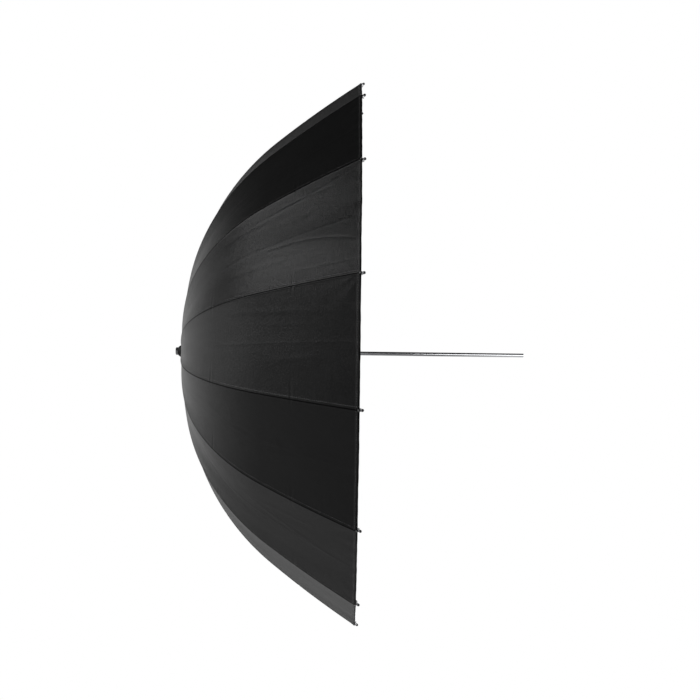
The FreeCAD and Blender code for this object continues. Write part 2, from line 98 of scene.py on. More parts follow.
HEM_STITCH_AT = HEM_WIDTH - 1.8 * MM

# The felled seam and the hem: how far each part stands proud or sinks, where it lies and how wide.
LIP_RISE = 0.10 * MM
LIP_INNER = (0.4 * MM, 1.1 * MM)
LIP_OUTER = (5.6 * MM, 7.2 * MM)
ROLL_RISE, ROLL_AT, ROLL_WIDTH = 0.34 * MM, 1.7 * MM, 0.9 * MM
GROOVE_DEPTH, GROOVE_WIDTH = 0.34 * MM, 0.6 * MM
STITCH_SINK = 0.14 * MM
HEM_RISE = 0.42 * MM

# Handed to fasten with each band; nothing in this script thins the bands as the umbrella closes.
CROWN_KEEP = 0.5
RIM_KEEP = 0.29


# ---------------------------------------------------------------- small tools

def smooth(x, start, stop):
    """0 before start, 1 after stop, with a soft step between."""
    share = np.clip((x - start) / (stop - start), 0.0, 1.0)
    return share * share * (3.0 - 2.0 * share)


def bump(x, centre, width):
    """A bell of height 1."""
    return np.exp(-(((x - centre) / width) ** 2))


def unit(vectors):
    return vectors / np.linalg.norm(vectors, axis=-1, keepdims=True)


# ---------------------------------------------------------------- seam line

def seam_arcs():
    """Start length, radius, start slope and centre of each arc, and the whole length."""
    arcs, length, point = [], 0.0, np.zeros(2)
    for radius, start, stop in SEAM_ARCS:
        start, stop = math.radians(start), math.radians(stop)
        centre = point + radius * np.array((math.cos(start), -math.sin(start)))
        arcs.append((length, radius, start, centre))
        point = centre - radius * np.array((math.cos(stop), -math.sin(stop)))
        length += radius * (stop - start)
    return arcs, length


ARCS, SEAM_LENGTH = seam_arcs()


def seam_line(s):
    """Distance down the shaft, radius and slope of the seam line at length s."""
    s = np.asarray(s, float)
    down, out, slope = np.zeros_like(s), np.zeros_like(s), np.zeros_like(s)
    for begin, radius, start, centre in ARCS:
        here = s >= begin
        angle = start + (s - begin) / radius
        down = np.where(here, centre[0] - radius * np.cos(angle), down)
        out = np.where(here, centre[1] + radius * np.sin(angle), out)
        slope = np.where(here, angle, slope)
    return down, out, slope


def half_width(s):
    """Half the chord between two ribs."""
    return seam_line(s)[1] * math.sin(HALF_GORE)


def rib_basis(rib):
    """Down the shaft, out along the rib and across towards the next rib."""
    axis = np.array(joints["rib_%02d_fold" % (rib + 1)]["axis"])
    return np.stack((X_AXIS, np.cross(X_AXIS, axis), -axis))


# ---------------------------------------------------------------- folds of the cloth

CREASES_PER_GORE = 6
SWELLS_PER_GORE = 5
TIP_FOLDS = 2

# The wrinkled gore lies between ribs 3 and 4, whose rim bands have a finer mesh. Each crease has
# where it starts and stops (s, then its place between the ribs from -1 to 1), width and height.
WRINKLED_GORE = 2
WRINKLED_RIBS = (WRINKLED_GORE, WRINKLED_GORE + 1)
FINER = 1.8
WRINKLES = (
    (700 * MM, 0.44, 505 * MM, 0.08, 2.8 * MM, -0.22 * MM),
    (650 * MM, -0.83, 450 * MM, -0.68, 2.8 * MM, 0.20 * MM),
    (640 * MM, -0.73, 530 * MM, -0.76, 2.6 * MM, -0.18 * MM),
    (700 * MM, 0.74, 570 * MM, 0.72, 2.8 * MM, -0.16 * MM),
    (618 * MM, -0.66, 590 * MM, -0.30, 3.2 * MM, 0.18 * MM),
    (606 * MM, -0.62, 584 * MM, -0.40, 3.2 * MM, -0.18 * MM),
)


def fold_table():
    """Seeded sizes and places of each gore's storage creases, swells and tip folds."""
    draw = np.random.default_rng(1643)
    shape = (RIBS, CREASES_PER_GORE)
    creases = {
        "at": draw.uniform(-0.78, 0.78, shape),
        "lean": draw.uniform(-0.22, 0.22, shape),
        "middle": draw.uniform(150, 640, shape) * MM,
        "reach": draw.uniform(35, 120, shape) * MM,
        "width": draw.uniform(3.4, 6.0, shape) * MM,
        "height": draw.uniform(0.06, 0.24, shape) * MM * draw.choice((-1, 1), shape),
    }
    shape = (RIBS, SWELLS_PER_GORE)
    swells = {
        "across": draw.uniform(0.8, 2.6, shape) * draw.choice((-1, 1), shape),
        "along": draw.uniform(5, 18, shape),
        "phase": draw.uniform(0, 2 * math.pi, shape),
        "height": draw.uniform(0.08, 0.26, shape) * MM,
    }
    shape = (RIBS, 2, TIP_FOLDS)
    tips = {
        "turn": draw.uniform(0.25, 1.0, shape),
        "width": draw.uniform(0.16, 0.28, shape),
        "height": draw.uniform(0.35, 1.0, shape) * MM * draw.choice((-1, 1), shape),
        "reach": draw.uniform(20, 45, shape) * MM,
    }
    return creases, swells, tips


CREASES, SWELLS, TIPS = fold_table()


def gore_swell(gore, s, y, width):
    """The soft shape that cover and lining share: a little sag, slow swells and the tips' pulls."""
    share = y / width
    inside = np.clip(1.0 - share * share, 0.0, 1.0)
    sag = (1.0 + 1.2 * bump(s, 330 * MM, 190 * MM)) * MM
    height = -sag * inside * smooth(s, 20 * MM, 120 * MM)
    free = inside * smooth(s, 60 * MM, 160 * MM)
    for j in range(SWELLS_PER_GORE):
        wave = np.sin(SWELLS["across"][gore, j] * 2.2 * share + SWELLS["along"][gore, j] * s
                      + SWELLS["phase"][gore, j])
        height = height + SWELLS["height"][gore, j] * wave * free
    return height + tip_folds(gore, s, y, width)


def gore_creases(gore, s, y, width):
    """Storage creases of the cover: the fold down the middle of the gore and the loose ones."""
    share = y / width
    free = np.clip(1.0 - share ** 8, 0.0, 1.0) * smooth(s, 60 * MM, 160 * MM)
    height = 0.16 * MM * np.exp(-np.abs(y) / (2.4 * MM)) * smooth(s, 120 * MM, 260 * MM)
    for j in range(CREASES_PER_GORE):
        middle = CREASES["middle"][gore, j]
        line = CREASES["at"][gore, j] * width + CREASES["lean"][gore, j] * (s - middle)
        ridge = bump(y, line, CREASES["width"][gore, j]) * bump(s, middle, CREASES["reach"][gore, j])
        height = height + CREASES["height"][gore, j] * ridge * free
    for start, start_share, stop, stop_share, across, rise in WRINKLES:
        along = np.clip((s - stop) / (start - stop), 0.0, 1.0)
        line = (stop_share + (start_share - stop_share) * along * along) * width
        ends = smooth(s, stop - 25 * MM, stop + 15 * MM) * (1 - smooth(s, start - 8 * MM, start + 8 * MM))
        height = height + (gore == WRINKLED_GORE) * rise * bump(y, line, across) * ends
    return height


def tip_folds(gore, s, y, width):
    """Small pulls that fan out from the rib tips at the rim."""
    height = np.zeros_like(s)
    for side in (0, 1):
        to_rib = width + y if side == 0 else width - y
        back = SEAM_LENGTH - s
        away = np.hypot(to_rib, back)
        turn = np.arctan2(to_rib, np.maximum(back, 1e-6))
        for j in range(TIP_FOLDS):
            fan = bump(turn, TIPS["turn"][gore, side, j], TIPS["width"][gore, side, j])
            fade = np.exp(-away / TIPS["reach"][gore, side, j]) * smooth(away, 8 * MM, 30 * MM)
            height = height + TIPS["height"][gore, side, j] * fan * fade
    return height


def tie_pulls(s, t):
    """Thread draws the cloth in at each tie, with short tucks that run out across the gore."""
    height = np.zeros_like(s)
    reach = np.where(t < 0, np.exp(t / (18 * MM)), np.exp(-t / (7 * MM)))
    reach = reach * smooth(np.abs(t), 0.5 * MM, 3 * MM)
    for at in TIES_AT:
        dimple = np.exp(-(t / (2.4 * MM)) ** 2 - ((s - at) / (2.6 * MM)) ** 2)
        tucks = bump(s, at - 4.5 * MM, 2.4 * MM) + bump(s, at + 5 * MM, 2.6 * MM)
        between = bump(s, at, 2.6 * MM)
        height = height - 0.35 * MM * dimple + (0.26 * tucks - 0.24 * between) * MM * reach
    return height


def crown_gathers(gore, s, y, width):
    """Fine pleats where the cloth comes out from under the crown cap."""
    share = y / width
    wave = np.cos(3 * math.pi * share + 1.7 * gore)
    return 0.45 * MM * wave * bump(s, 24 * MM, 16 * MM) * np.clip(1 - share ** 4, 0, 1)


def seam_relief(s, t, hem):
    """The felled seam over the rib and the doubled hem, which stand proud of the outer face."""
    lip = LIP_RISE * smooth(-t, *LIP_INNER) * (1 - smooth(-t, *LIP_OUTER))
    roll = ROLL_RISE * bump(t, ROLL_AT, ROLL_WIDTH)
    groove = -GROOVE_DEPTH * bump(t, 0.0, GROOVE_WIDTH)
    stitched = -STITCH_SINK * bump(t, SEAM_STITCH_AT, 0.6 * MM)
    seam = (lip + roll + stitched) * smooth(s, 14 * MM, 60 * MM)
    fold = HEM_RISE * (1 - smooth(hem, HEM_WIDTH - 0.6 * MM, HEM_WIDTH + 0.5 * MM))
    stitch_line = -STITCH_SINK * bump(hem, HEM_STITCH_AT, 0.7 * MM)
    return np.maximum(seam, 0.0) * (1 - 0.4 * (fold > 0)) + groove + fold + stitch_line


def hem_pucker(gore, y, hem):
    """The hem's stitching draws the edge into small waves."""
    wave = np.sin(y / (4.6 * MM) + 2.1 * gore) + 0.6 * np.sin(y / (7.9 * MM) + 0.9 * gore)
    return 0.24 * MM * wave * np.exp(-np.maximum(hem, 0) / (13 * MM))


def rim_setback(share):
    """How far the rim is cut back between ribs; share is 0 at a rib and 1 at mid gore."""
    return SCALLOP * share * (2.0 - share)


# ---------------------------------------------------------------- bands of cloth

def cloth_points(rib, s, t, depth, proud):
    """Points of the cloth in the row frame, depth inside the cover's outer face."""
    down, out, slope = seam_line(s)
    width = half_width(s)
    side = np.where(t >= 0, 1.0, -1.0)
    reach = np.abs(t)
    gore = np.where(t >= 0, rib, (rib - 1) % RIBS)
    y = np.where(t >= 0, t - width, t + width)
    hem = SEAM_LENGTH - rim_setback(reach / width) - s
    cos_gore, sin_gore = math.cos(HALF_GORE), math.sin(HALF_GORE)
    place = np.stack((down, out - reach * sin_gore, side * reach * cos_gore), axis=-1)
    flat = unit(np.stack((-np.cos(slope) * cos_gore, np.sin(slope) * cos_gore,
                          side * np.sin(slope) * sin_gore), axis=-1))
    over_rib = np.stack((-np.cos(slope), np.sin(slope), np.zeros_like(slope)), axis=-1)
    turn = smooth(reach, 0.0, np.minimum(9 * MM, 0.5 * width))[..., None]
    normal = unit(over_rib * (1 - turn) + flat * turn)
    height = gore_swell(gore, s, y, width) + tie_pulls(s, t) + crown_gathers(gore, s, y, width)
    height = height + hem_pucker(gore, y, hem) * np.clip(1 - (y / width) ** 4, 0, 1)
    if depth >= LINING_DEPTH:
        clear = smooth(reach, 8 * MM, 30 * MM) * smooth(hem, 9 * MM, 32 * MM)
        height = height - LINING_SLACK * clear * smooth(s, 40 * MM, 120 * MM)
    else:
        height = height + gore_creases(gore, s, y, width) * smooth(hem, 2 * MM, 20 * MM)
    if proud:
        height = height + seam_relief(s, t, hem)
    local = place + normal * (height - depth)[..., None]
    return local @ rib_basis(rib) + X_AXIS * CROWN_X


def cloth_normals(rib, s, t, depth, proud):
    """Outward normals of the same surface, from small steps along it."""
    step = 0.25 * MM
    along = (cloth_points(rib, s + step, t, depth, proud)
             - cloth_points(rib, s - step, t, depth, proud))
    across = (cloth_points(rib, s, t + step, depth, proud)
              - cloth_points(rib, s, t - step, depth, proud))
    return unit(np.cross(across, along))


def band_columns(s, near, count):
    """Distances across the band: close together at the seam and at mid gore, even between."""
    width = half_width(s)[:, None]
    near = np.array(near)
    limit = 0.4 * width * np.arange(len(near)) / (len(near) - 1)
    close = np.minimum(near, limit)
    last = np.minimum(np.array((5.0, 2.6, 1.1, 0.0)) * MM, 0.2 * width * np.array((1, 0.5, 0.2, 0)))
    share = np.arange(1, count) / count
    rest = close[:, -1:] + (width - last[:, :1] - close[:, -1:]) * share
    right = np.concatenate((close, rest, width - last), axis=1)
    return np.concatenate((-right[:, :0:-1], right), axis=1)


def grid_faces(rows, columns):
    """Quads of a closed thin shell: outer face, inner face and the four edges."""
    outer = np.arange(rows * columns).reshape(rows, columns)
    inner = outer + rows * columns

    def quads(a, b, c, d):
        return np.stack((a, b, c, d), axis=-1).reshape(-1, 4)

    top = quads(outer[:-1, :-1], outer[:-1, 1:], outer[1:, 1:], outer[1:, :-1])
    bottom = quads(inner[:-1, :-1], inner[1:, :-1], inner[1:, 1:], inner[:-1, 1:])
    walls = np.concatenate((
        quads(outer[-1, :-1], outer[-1, 1:], inner[-1, 1:], inner[-1, :-1]),
        quads(outer[0, :-1], inner[0, :-1], inner[0, 1:], outer[0, 1:]),
        quads(outer[:-1, -1], inner[:-1, -1], inner[1:, -1], outer[1:, -1]),
        quads(outer[:-1, 0], outer[1:, 0], inner[1:, 0], inner[:-1, 0]),
    ))
    return top, bottom, walls


def flat_normals(points, faces):
    """One normal for each face, repeated for its corners."""
    normal = np.cross(points[faces[:, 2]] - points[faces[:, 0]],
                      points[faces[:, 3]] - points[faces[:, 1]])
    length = np.linalg.norm(normal, axis=1, keepdims=True)
    return np.repeat(normal / np.maximum(length, 1e-12), 4, axis=0)


def stitches(rib, s, t, ds, dt, depth, proud):
    """Stretched octahedra that lie along the cloth at s, t and point along ds, dt."""
    centre = cloth_points(rib, s, t, depth, proud)
    ahead = unit(cloth_points(rib, s + ds, t + dt, depth, proud) - centre)
    normal = cloth_normals(rib, s, t, depth, proud)
    if not proud:
        normal = -normal
    beside = np.cross(normal, ahead)
    centre = centre + normal * 0.08 * MM
    corners = np.stack((
        ahead * STITCH_LENGTH / 2, beside * STITCH_WIDTH / 2, -ahead * STITCH_LENGTH / 2,
        -beside * STITCH_WIDTH / 2, normal * STITCH_RISE, -normal * STITCH_RISE,
    ), axis=1)
    points = (centre[:, None, :] + corners).reshape(-1, 3)
    order = ((0, 1, 4), (1, 2, 4), (2, 3, 4), (3, 0, 4), (1, 0, 5), (2, 1, 5), (3, 2, 5), (0, 3, 5))
    faces = (np.arange(len(s))[:, None, None] * 6 + np.array(order)).reshape(-1, 3)
    return points, faces, unit(corners).reshape(-1, 3)


def band_stitches(rib, start, stop, depth, proud):
    """The seam's row of stitches, and the hem's where the band reaches the rim."""
    s = np.arange(max(start, 26 * MM), min(stop, SEAM_LENGTH - 3 * MM), STITCH_PITCH)
    sets = []
    lines = (SEAM_STITCH_AT,) if proud else (3.0 * MM, -3.0 * MM)
    for at in lines:
        limit = 0.4 * half_width(s)
        sets.append(stitches(rib, s, np.clip(at, -limit, limit), MM, 0.0, depth, proud))
    if stop > SEAM_LENGTH - MM:
        width = float(half_width(SEAM_LENGTH))
        t = np.arange(-width + STITCH_PITCH / 2, width, STITCH_PITCH)
        t = t[np.abs(t) > 2 * MM]
        s = SEAM_LENGTH - rim_setback(np.abs(t) / width) - HEM_STITCH_AT
        sets.append(stitches(rib, s, t, 0.0, MM, depth, proud))
    points, faces, normals, count = [], [], [], 0
    for part_points, part_faces, part_normals in sets:
        points.append(part_points)
        faces.append(part_faces + count)
        normals.append(part_normals)
        count += len(part_points)
    return np.concatenate(points), np.concatenate(faces), np.concatenate(normals)


def band_grid(rows, near, count, rim_back):
    """s and t of every point of a band, with the rim cut back between the ribs."""
    spread = band_columns(rows, near, count)
    share = np.abs(spread) / half_width(rows)[:, None]
    past = np.clip((rows - COVER_SPLIT) / (SEAM_LENGTH - COVER_SPLIT), 0, 1)[:, None]
    s = rows[:, None] - past * (rim_setback(share) + rim_back)
    return s, share * half_width(s) * np.sign(spread)


def band(name, rib, rows, near, count, layer, materials):
    """One band of cloth as a closed thin shell with its stitches."""
    outer_depth, thick, outer_is_shown, rim_back = layer
    s, spread = band_grid(rows, near, count, rim_back)
    shapes = []
    for depth, proud in ((outer_depth, outer_is_shown), (outer_depth + thick, False)):
        points = cloth_points(rib, s, spread, depth, proud).reshape(-1, 3)
        normals = cloth_normals(rib, s, spread, depth, proud).reshape(-1, 3)
        shapes.append((points, normals))
    (outer, outer_normals), (inner, inner_normals) = shapes
    top, bottom, walls = grid_faces(*s.shape)
    points = np.concatenate((outer, inner))
    vertex_normals = np.concatenate((outer_normals, -inner_normals))
    stitch_depth = outer_depth if outer_is_shown else outer_depth + thick
    thread = band_stitches(rib, float(rows[0]), float(rows[-1]), stitch_depth, outer_is_shown)
    quads = np.concatenate((top, bottom, walls))
    triangles = thread[1] + len(points)
    loop_normals = np.concatenate((
        vertex_normals[top].reshape(-1, 3), vertex_normals[bottom].reshape(-1, 3),
        flat_normals(points, walls), thread[2][thread[1]].reshape(-1, 3),
    ))
    mesh = bpy.data.meshes.new(name)
    mesh.from_pydata(np.concatenate((points, thread[0])).tolist(), [],
                     quads.tolist() + triangles.tolist())
    for material in materials:
        mesh.materials.append(material)
    material_index = np.zeros(len(mesh.polygons), np.int32)
    material_index[len(quads):] = 1
    mesh.polygons.foreach_set("material_index", material_index)
    mesh.polygons.foreach_set("use_smooth", np.ones(len(mesh.polygons), bool))
    cloth_attribute(mesh, s, spread, len(thread[0]))
    mesh.normals_split_custom_set(loop_normals.tolist())
    mesh.update()
    piece = bpy.data.objects.new(name, mesh)
    bpy.context.scene.collection.objects.link(piece)
    return piece


def cloth_attribute(mesh, s, spread, extra):
    """Each point's place on the flat cut, across the gore and along it, and off seam and rim."""
    width = half_width(s)
    y = np.where(spread >= 0, spread - width, spread + width)
    zero = np.zeros_like(s)
    for name, parts in (("cut", (y, s, zero)), ("edge", (spread, SEAM_LENGTH - s, zero))):
        values = np.stack(parts, axis=-1).reshape(-1, 3)
        values = np.concatenate((values, values, np.full((extra, 3), 0.1)))
        attribute = mesh.attributes.new(name, "FLOAT_VECTOR", "POINT")
        attribute.data.foreach_set("vector", values.astype(np.float32).ravel())


def band_rows(part, split, pitch):
    """Lengths along the seam of a band's rows; they close up at the ties and at the hem."""
    if part == "crown":
        ends = COVER_START + np.array((0, 6, 12, 18, 25)) * MM
        start, stop = ends[-1], split
        rows = [ends, (stop,)]
    else:
        hem = SEAM_LENGTH - np.array((16, 11, 8.4, 7.5, 6.7, 5.7, 4.7, 2.4, 0.6, 0)) * MM
        start, stop = split, hem[0]
        rows = [(start,), hem]
    even = np.linspace(start, stop, int((stop - start) / pitch) + 1)[1:-1]
    for at in TIES_AT:
        if start < at < stop:
            even = even[np.abs(even - at) > 14 * MM]
            rows.append(at + np.array((-13, -9, -6, -4, -2, 0, 2, 4, 6, 9, 13)) * MM)
    return np.sort(np.concatenate([even] + [np.asarray(row) for row in rows]))


COVER_NEAR = [x * MM for x in (0, 0.5, 1.1, 1.8, 3.2, 4.4, 5.0, 5.6, 6.4, 7.4, 10)]
LINING_NEAR = [x * MM for x in (0, 1.2, 3, 5, 8, 12)]
COVER_LAYER = (0.0, COVER_THICK, True, 0.0)
LINING_LAYER = (LINING_DEPTH, LINING_THICK, False, 2.6 * MM)


def canopy(materials):
    """Cover and lining of every rib, each in a crown and a rim band."""
    kinds = (
        ("cover", "black_cloth", COVER_LAYER, COVER_NEAR, 22, COVER_SPLIT, 6.5 * MM),
        ("lining", "white_cloth", LINING_LAYER, LINING_NEAR, 12, LINING_SPLIT, 10 * MM),
    )
    for kind, slot, layer, near, count, split, pitch in kinds:
        cloth = (materials[slot], materials[slot + "_thread"])
        for part, keep in (("crown", CROWN_KEEP), ("rim", RIM_KEEP)):
            for rib in range(RIBS):
                name = "%s_%02d_%s" % (kind, rib + 1, part)
                fine = FINER if (kind, part) == ("cover", "rim") and rib in WRINKLED_RIBS else 1.0
                rows = band_rows(part, split, pitch / fine)
                piece = band(name, rib, rows, near, round(count * fine), layer, cloth)
                fasten(piece, rib, keep)
                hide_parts("canopy_" + kind)


def fasten(piece, rib, keep=None):
    """The piece rides on its rib; given keep, it gets a mesh of its own."""
    number = rib + 1
    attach(piece, "rib_%02d_arm" % number)
    if keep is not None:
        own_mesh(piece)


# ---------------------------------------------------------------- thread that holds cloth to ribs

THREAD_RADIUS = 0.3 * MM
THREAD_SIDES = 6
TURN_POINTS = 18
TIE_TAIL = 4.5 * MM
CORNER_TAIL = 1.2 * MM


def beside_rib(rib, s, side, depth):
    """A point by a rib: s along the seam, side across it and depth inside the cover."""
    down, out, slope = seam_line(s)
    local = np.stack((down + depth * np.cos(slope), out - depth * np.sin(slope), side), axis=-1)
    return local @ rib_basis(rib) + X_AXIS * CROWN_X


def thread_turns(rib, at, turns, half_across, top, bottom, tail):
    """The line of a thread wound round a rib from depth top to bottom, with two loose tails."""
    turn = 2 * math.pi * np.arange(turns * TURN_POINTS + 1) / TURN_POINTS
    s = at + 2.3 * THREAD_RADIUS * (turn / (2 * math.pi) - turns / 2)
    side = half_across * np.sin(turn)
    depth = (top + bottom) / 2 + (bottom - top) / 2 * np.cos(turn)
    step = np.array((0.35, 0.7, 1.0))
    first_tail = (s[0] - 0.3 * tail * step[::-1], -tail * step[::-1],
                  depth[0] + 0.35 * tail * np.sqrt(step[::-1]))
    last_tail = (s[-1] + 0.2 * tail * step, tail * step, depth[-1] + 0.45 * tail * np.sqrt(step))
    s, side, depth = (np.concatenate((a, b, c))
                      for a, b, c in zip(first_tail, (s, side, depth), last_tail))
    return beside_rib(rib, s, side, depth)


def tube(path, beside, radius, sides):
    """Points and faces of a closed round tube along a path; beside is never along the path."""
    ahead = unit(np.gradient(path, axis=0))
    first = unit(np.cross(ahead, beside))
    second = np.cross(ahead, first)
    angle = 2 * math.pi * np.arange(sides) / sides
    ring = first[:, None] * np.cos(angle)[:, None] + second[:, None] * np.sin(angle)[:, None]
    points = (path[:, None] + radius * ring).reshape(-1, 3)
    faces = []
    for row in range(len(path) - 1):
        for side in range(sides):
            after = (side + 1) % sides
            near, far = row * sides, (row + 1) * sides
            faces.append((near + side, near + after, far + after, far + side))
    faces.append(tuple(range(sides))[::-1])
    faces.append(tuple(range(len(points) - sides, len(points))))
    return points, faces


def thread_piece(name, rib, windings, material):
    """One piece of thread with all its windings on a rib."""
    points, faces, count = [], [], 0
    for winding in windings:
        path = thread_turns(rib, *winding)
        slope = seam_line(winding[0])[2]
        along = np.array((math.sin(slope), math.cos(slope), 0.0)) @ rib_basis(rib)
        tube_points, tube_faces = tube(path, along, THREAD_RADIUS, THREAD_SIDES)
        points.append(tube_points)
        faces += [tuple(index + count for index in face) for face in tube_faces]
        count += len(tube_points)
    mesh = bpy.data.meshes.new(name)
    mesh.from_pydata(np.concatenate(points).tolist(), [], faces)
    mesh.polygons.foreach_set("use_smooth", np.ones(len(mesh.polygons), bool))
    mesh.materials.append(material)
    piece = bpy.data.objects.new(name, mesh)
    bpy.context.scene.collection.objects.link(piece)
    fasten(piece, rib)


def thread_ties(materials):
    """White ties round each rod inside, and black stitches that hold each corner to its tip."""
    round_rod = RIB_RADIUS + 1.3 * THREAD_RADIUS
    round_tip = TIP_RADIUS + 1.7 * THREAD_RADIUS
    tied_face = LINING_DEPTH + LINING_THICK + 0.5 * MM
    ties = [(at, 4, round_rod, tied_face, RIB_DEPTH + round_rod, TIE_TAIL) for at in TIES_AT]
    corner = [(SEAM_LENGTH - 2.2 * MM, 3, round_tip, -0.7 * MM, TIP_DEPTH + round_tip,
               CORNER_TAIL)]
    for rib in range(RIBS):
        number = rib + 1
        thread_piece("rib_ties_%02d" % number, rib, ties,
                     materials["white_cloth_thread"])
        thread_piece("corner_thread_%02d" % number, rib, corner,
                     materials["black_cloth_thread"])


# ---------------------------------------------------------------- materials

def new_material(name, **values):
    """A material and its shader, with the constant values set on the shader's sockets."""
    material = bpy.data.materials.new(name)
    material.use_nodes = True
    tree = material.node_tree
    shader = tree.nodes["Principled BSDF"]
    for socket, value in values.items():
        shader.inputs[socket.replace("_", " ")].default_value = value
    return material, tree, shader


def add(tree, kind, inputs=(), **settings):
    """A node with its settings and inputs; an input is a value or another node's output."""
    node = tree.nodes.new(kind)
    for name, value in settings.items():
        setattr(node, name, value)
    for key, value in dict(inputs).items():
        if isinstance(value, bpy.types.NodeSocket):
            tree.links.new(value, node.inputs[key])
        else:
            node.inputs[key].default_value = value
    return node


def math_node(tree, operation, first, second=0.0):
    return add(tree, "ShaderNodeMath", {0: first, 1: second}, operation=operation).outputs[0]


def ramp(tree, value, stops):
    """A colour ramp with the given positions and colours."""
    node = add(tree, "ShaderNodeValToRGB", {"Fac": value})
    elements = node.color_ramp.elements
    while len(elements) < len(stops):
        elements.new(0.5)
    for element, (position, colour) in zip(elements, stops):
        element.position = position
        element.color = (*colour, 1.0)
    return node.outputs["Color"]


def noise(tree, vector, scale, detail=3.0, roughness=0.55):
    node = add(tree, "ShaderNodeTexNoise",
               {"Vector": vector, "Scale": scale, "Detail": detail, "Roughness": roughness})
    return node.outputs["Fac"]


def scaled(tree, vector, scale):
    node = add(tree, "ShaderNodeMapping", {"Vector": vector, "Scale": scale})
    return node.outputs["Vector"]


def map_range(tree, value, low, high, start=0.0, stop=1.0):
    """The stretch of value from start to stop, taken to low to high and held there."""
    return add(tree, "ShaderNodeMapRange", {"Value": value, "From Min": start, "From Max": stop,
                                            "To Min": low, "To Max": high}).outputs[0]


def set_bump(tree, shader, height, strength, distance):
    node = add(tree, "ShaderNodeBump",
               {"Height": height, "Strength": strength, "Distance": distance})
    tree.links.new(node.outputs["Normal"], shader.inputs["Normal"])


def weave(tree, place, pitch):
    """Plain weave: threads that pass over and under each other."""
    parts = add(tree, "ShaderNodeSeparateXYZ", {0: place}).outputs
    waves = []
    for axis in (0, 1):
        turns = math_node(tree, "MULTIPLY", parts[axis], 2 * math.pi / pitch)
        waves.append(math_node(tree, "SINE", turns))
    return math_node(tree, "MULTIPLY", waves[0], waves[1])


def cloth_material(name, dark, light, pitch, crumple, groove, **values):
    """Woven cloth: thread, slubs along and across the cut, storage creases and small ripples; with groove below 1,
    painted shade in the seam groove and along the hem edge.
    """
    material, tree, shader = new_material(name, **values)
    place = add(tree, "ShaderNodeAttribute", attribute_name="cut").outputs["Vector"]
    warp = noise(tree, scaled(tree, place, (900, 40, 1)), 1.0, 2.0)
    weft = noise(tree, scaled(tree, place, (40, 900, 1)), 1.0, 2.0)
    slub = math_node(tree, "ADD", warp, weft)
    cloud = noise(tree, place, 14.0, 4.0)
    grain = noise(tree, place, 420.0, 3.0, 0.7)
    mark = noise(tree, scaled(tree, place, (60, 7, 1)), 1.0, 3.0)
    tone = math_node(tree, "ADD", math_node(tree, "MULTIPLY", slub, 0.25),
                     math_node(tree, "MULTIPLY", cloud, 0.5))
    colour = ramp(tree, tone, ((0.3, dark), (0.72, light)))
    # Painted shade: in the seam groove and along the hem edge the colour is multiplied down to groove, and
    # roughness rises there; at groove 1 nothing is painted.
    edge = add(tree, "ShaderNodeAttribute", attribute_name="edge").outputs["Vector"]
    off = add(tree, "ShaderNodeSeparateXYZ", {0: edge}).outputs
    seam_painted_shade = map_range(tree, math_node(tree, "ABSOLUTE", off[0]), groove, 1.0,
                         0.6 * MM, 1.3 * MM)
    rim_painted_shade = map_range(tree, off[1], groove, 1.0, 1.8 * MM, 3.2 * MM)
    painted_shade_factor = math_node(tree, "MULTIPLY", seam_painted_shade, rim_painted_shade)
    colour = add(tree, "ShaderNodeMix", {0: 1.0, 6: colour, 7: painted_shade_factor}, data_type="RGBA",
                 blend_type="MULTIPLY").outputs[2]
    tree.links.new(colour, shader.inputs["Base Color"])
    # Painted shade: the groove and hem edge turn to near-black metal, which reflects almost nothing.
    tree.links.new(map_range(tree, painted_shade_factor, 1.0 - groove, 0.0), shader.inputs["Metallic"])
    base = values["Roughness"]
    rough = map_range(tree, mark, base - 0.06, base + 0.06)
    tree.links.new(math_node(tree, "ADD", rough, map_range(tree, painted_shade_factor, 0.3, 0.0)),
                   shader.inputs["Roughness"])
    fine = math_node(tree, "ADD", math_node(tree, "MULTIPLY", weave(tree, place, pitch), 0.04),
                     math_node(tree, "MULTIPLY", slub, 0.06))
    fine = math_node(tree, "ADD", fine, math_node(tree, "MULTIPLY", grain, 0.13))
    ripples = noise(tree, scaled(tree, place, (22, 120, 1)), 1.0, 2.0)
    where = map_range(tree, noise(tree, place, 9.0, 2.0), 0.0, 1.0, 0.52, 0.68)
    ripples = math_node(tree, "MULTIPLY", ripples, where)
    lines = noise(tree, scaled(tree, place, (150, 6, 1)), 1.0, 2.0)
    crinkle = math_node(tree, "MULTIPLY", noise(tree, place, 230.0, 3.0, 0.6), 0.75)
    large = math_node(tree, "ADD", math_node(tree, "MULTIPLY", ripples, 1.2),
                      math_node(tree, "MULTIPLY", lines, 0.12))
    large = math_node(tree, "ADD", large, crinkle)
    height = math_node(tree, "ADD", fine, math_node(tree, "MULTIPLY", large, crumple))
    set_bump(tree, shader, height, 0.6, 1.0 * MM)
    return material


def thread_material(name, dark, light, roughness):
    """Sewing thread: twisted, from a dark to a light tone; the black thread's grey tone is painted sheen."""
    material, tree, shader = new_material(name, Roughness=roughness, Sheen_Weight=0.3)
    place = add(tree, "ShaderNodeTexCoord").outputs["Object"]
    twist = noise(tree, place, 2200.0, 1.0)
    tree.links.new(ramp(tree, twist, ((0.35, dark), (0.65, light))), shader.inputs["Base Color"])
    set_bump(tree, shader, twist, 0.5, 0.1 * MM)
    return material


